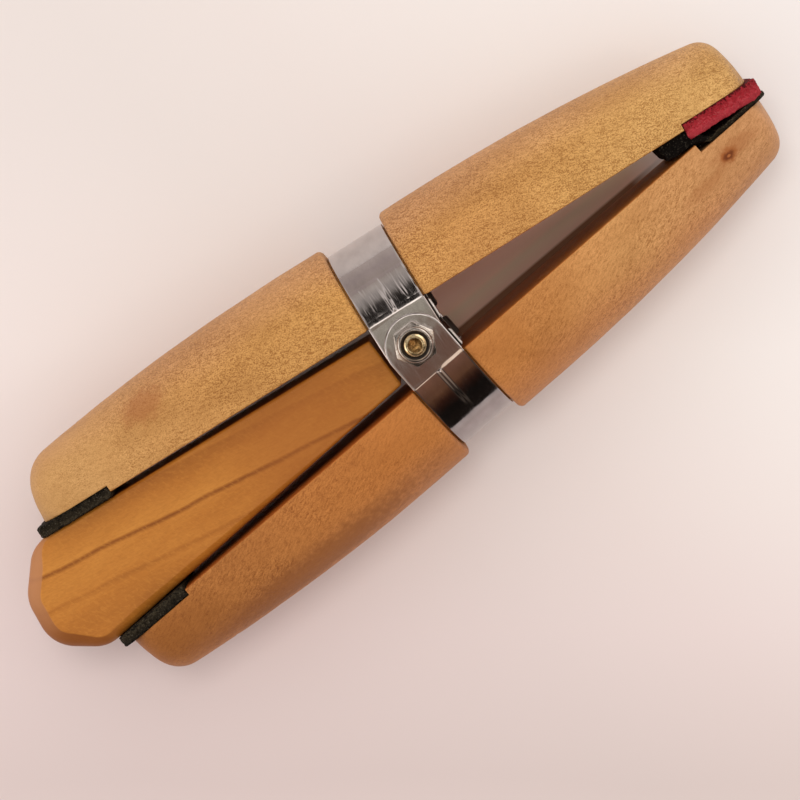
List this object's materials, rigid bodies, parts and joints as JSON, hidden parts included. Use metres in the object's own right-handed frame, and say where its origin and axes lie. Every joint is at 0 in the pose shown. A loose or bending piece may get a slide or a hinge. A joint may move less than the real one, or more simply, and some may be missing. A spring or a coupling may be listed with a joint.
{
  "type": "wooden ring clamp",
  "caption": "Two-jaw wooden hand clamp on a steel hinge strap, closed at its leather-faced tips by a wedge driven in at the other end, for holding finger rings while they are worked on.",
  "frame": {"origin": "bottom centre of the clamp's bounding box, lying on the bolt's head", "axes": "+X along the clamp towards the gripping tips, +Y towards the upper jaw, +Z along the pivot bolt towards the lock nut"},
  "size_m": [0.1598, 0.049, 0.039],
  "materials": {
    "upper_wood": "satin varnish, golden tan with fine dark flecks",
    "lower_wood": "satin varnish, pinkish tan with curly pale flecks",
    "wedge_wood": "gloss varnish, orange brown with long grain lines",
    "strap_steel": "polished, fine scratches",
    "zinc_plated_steel": "bright zinc plating",
    "yellow_plated_steel": "yellow zinc plating",
    "dark_nylon": "matt",
    "red_leather": "matt, fibrous cut edges",
    "black_leather": "matt, fine grain"
  },
  "bodies": {
    "pivot": {"pivot_bolt": "yellow_plated_steel", "lock_nut": "zinc_plated_steel", "nut_ring": "dark_nylon", "spacer_tube": "zinc_plated_steel"},
    "upper_jaw": {"upper_jaw": "upper_wood", "upper_strap": "strap_steel", "upper_tip_pad": "red_leather", "upper_wedge_pad": "black_leather"},
    "lower_jaw": {"lower_jaw": "lower_wood", "lower_strap": "strap_steel", "lower_tip_pad": "black_leather", "lower_wedge_pad": "black_leather"},
    "wedge": {"wedge": "wedge_wood"}
  },
  "joints": [
    {"name": "wedge_slide", "type": "slide", "parent": "pivot", "child": "wedge", "axis": [-1, 0, 0], "range_m": [0, 0.07]},
    {"name": "upper_jaw_hinge", "type": "hinge", "parent": "pivot", "child": "upper_jaw", "pos_m": [0.00453, 0, 0.0177], "axis": [0, 0, 1], "range_deg": [0, 4.93]},
    {"name": "lower_jaw_hinge", "type": "hinge", "parent": "pivot", "child": "lower_jaw", "pos_m": [0.00453, 0, 0.0177], "axis": [0, 0, 1], "range_deg": [-4.93, 0]}
  ],
  "couplings": [
    {"joint": "upper_jaw_hinge", "follows": "wedge_slide", "rad_per_m": 1.225},
    {"joint": "lower_jaw_hinge", "follows": "wedge_slide", "rad_per_m": -1.225}
  ]
}
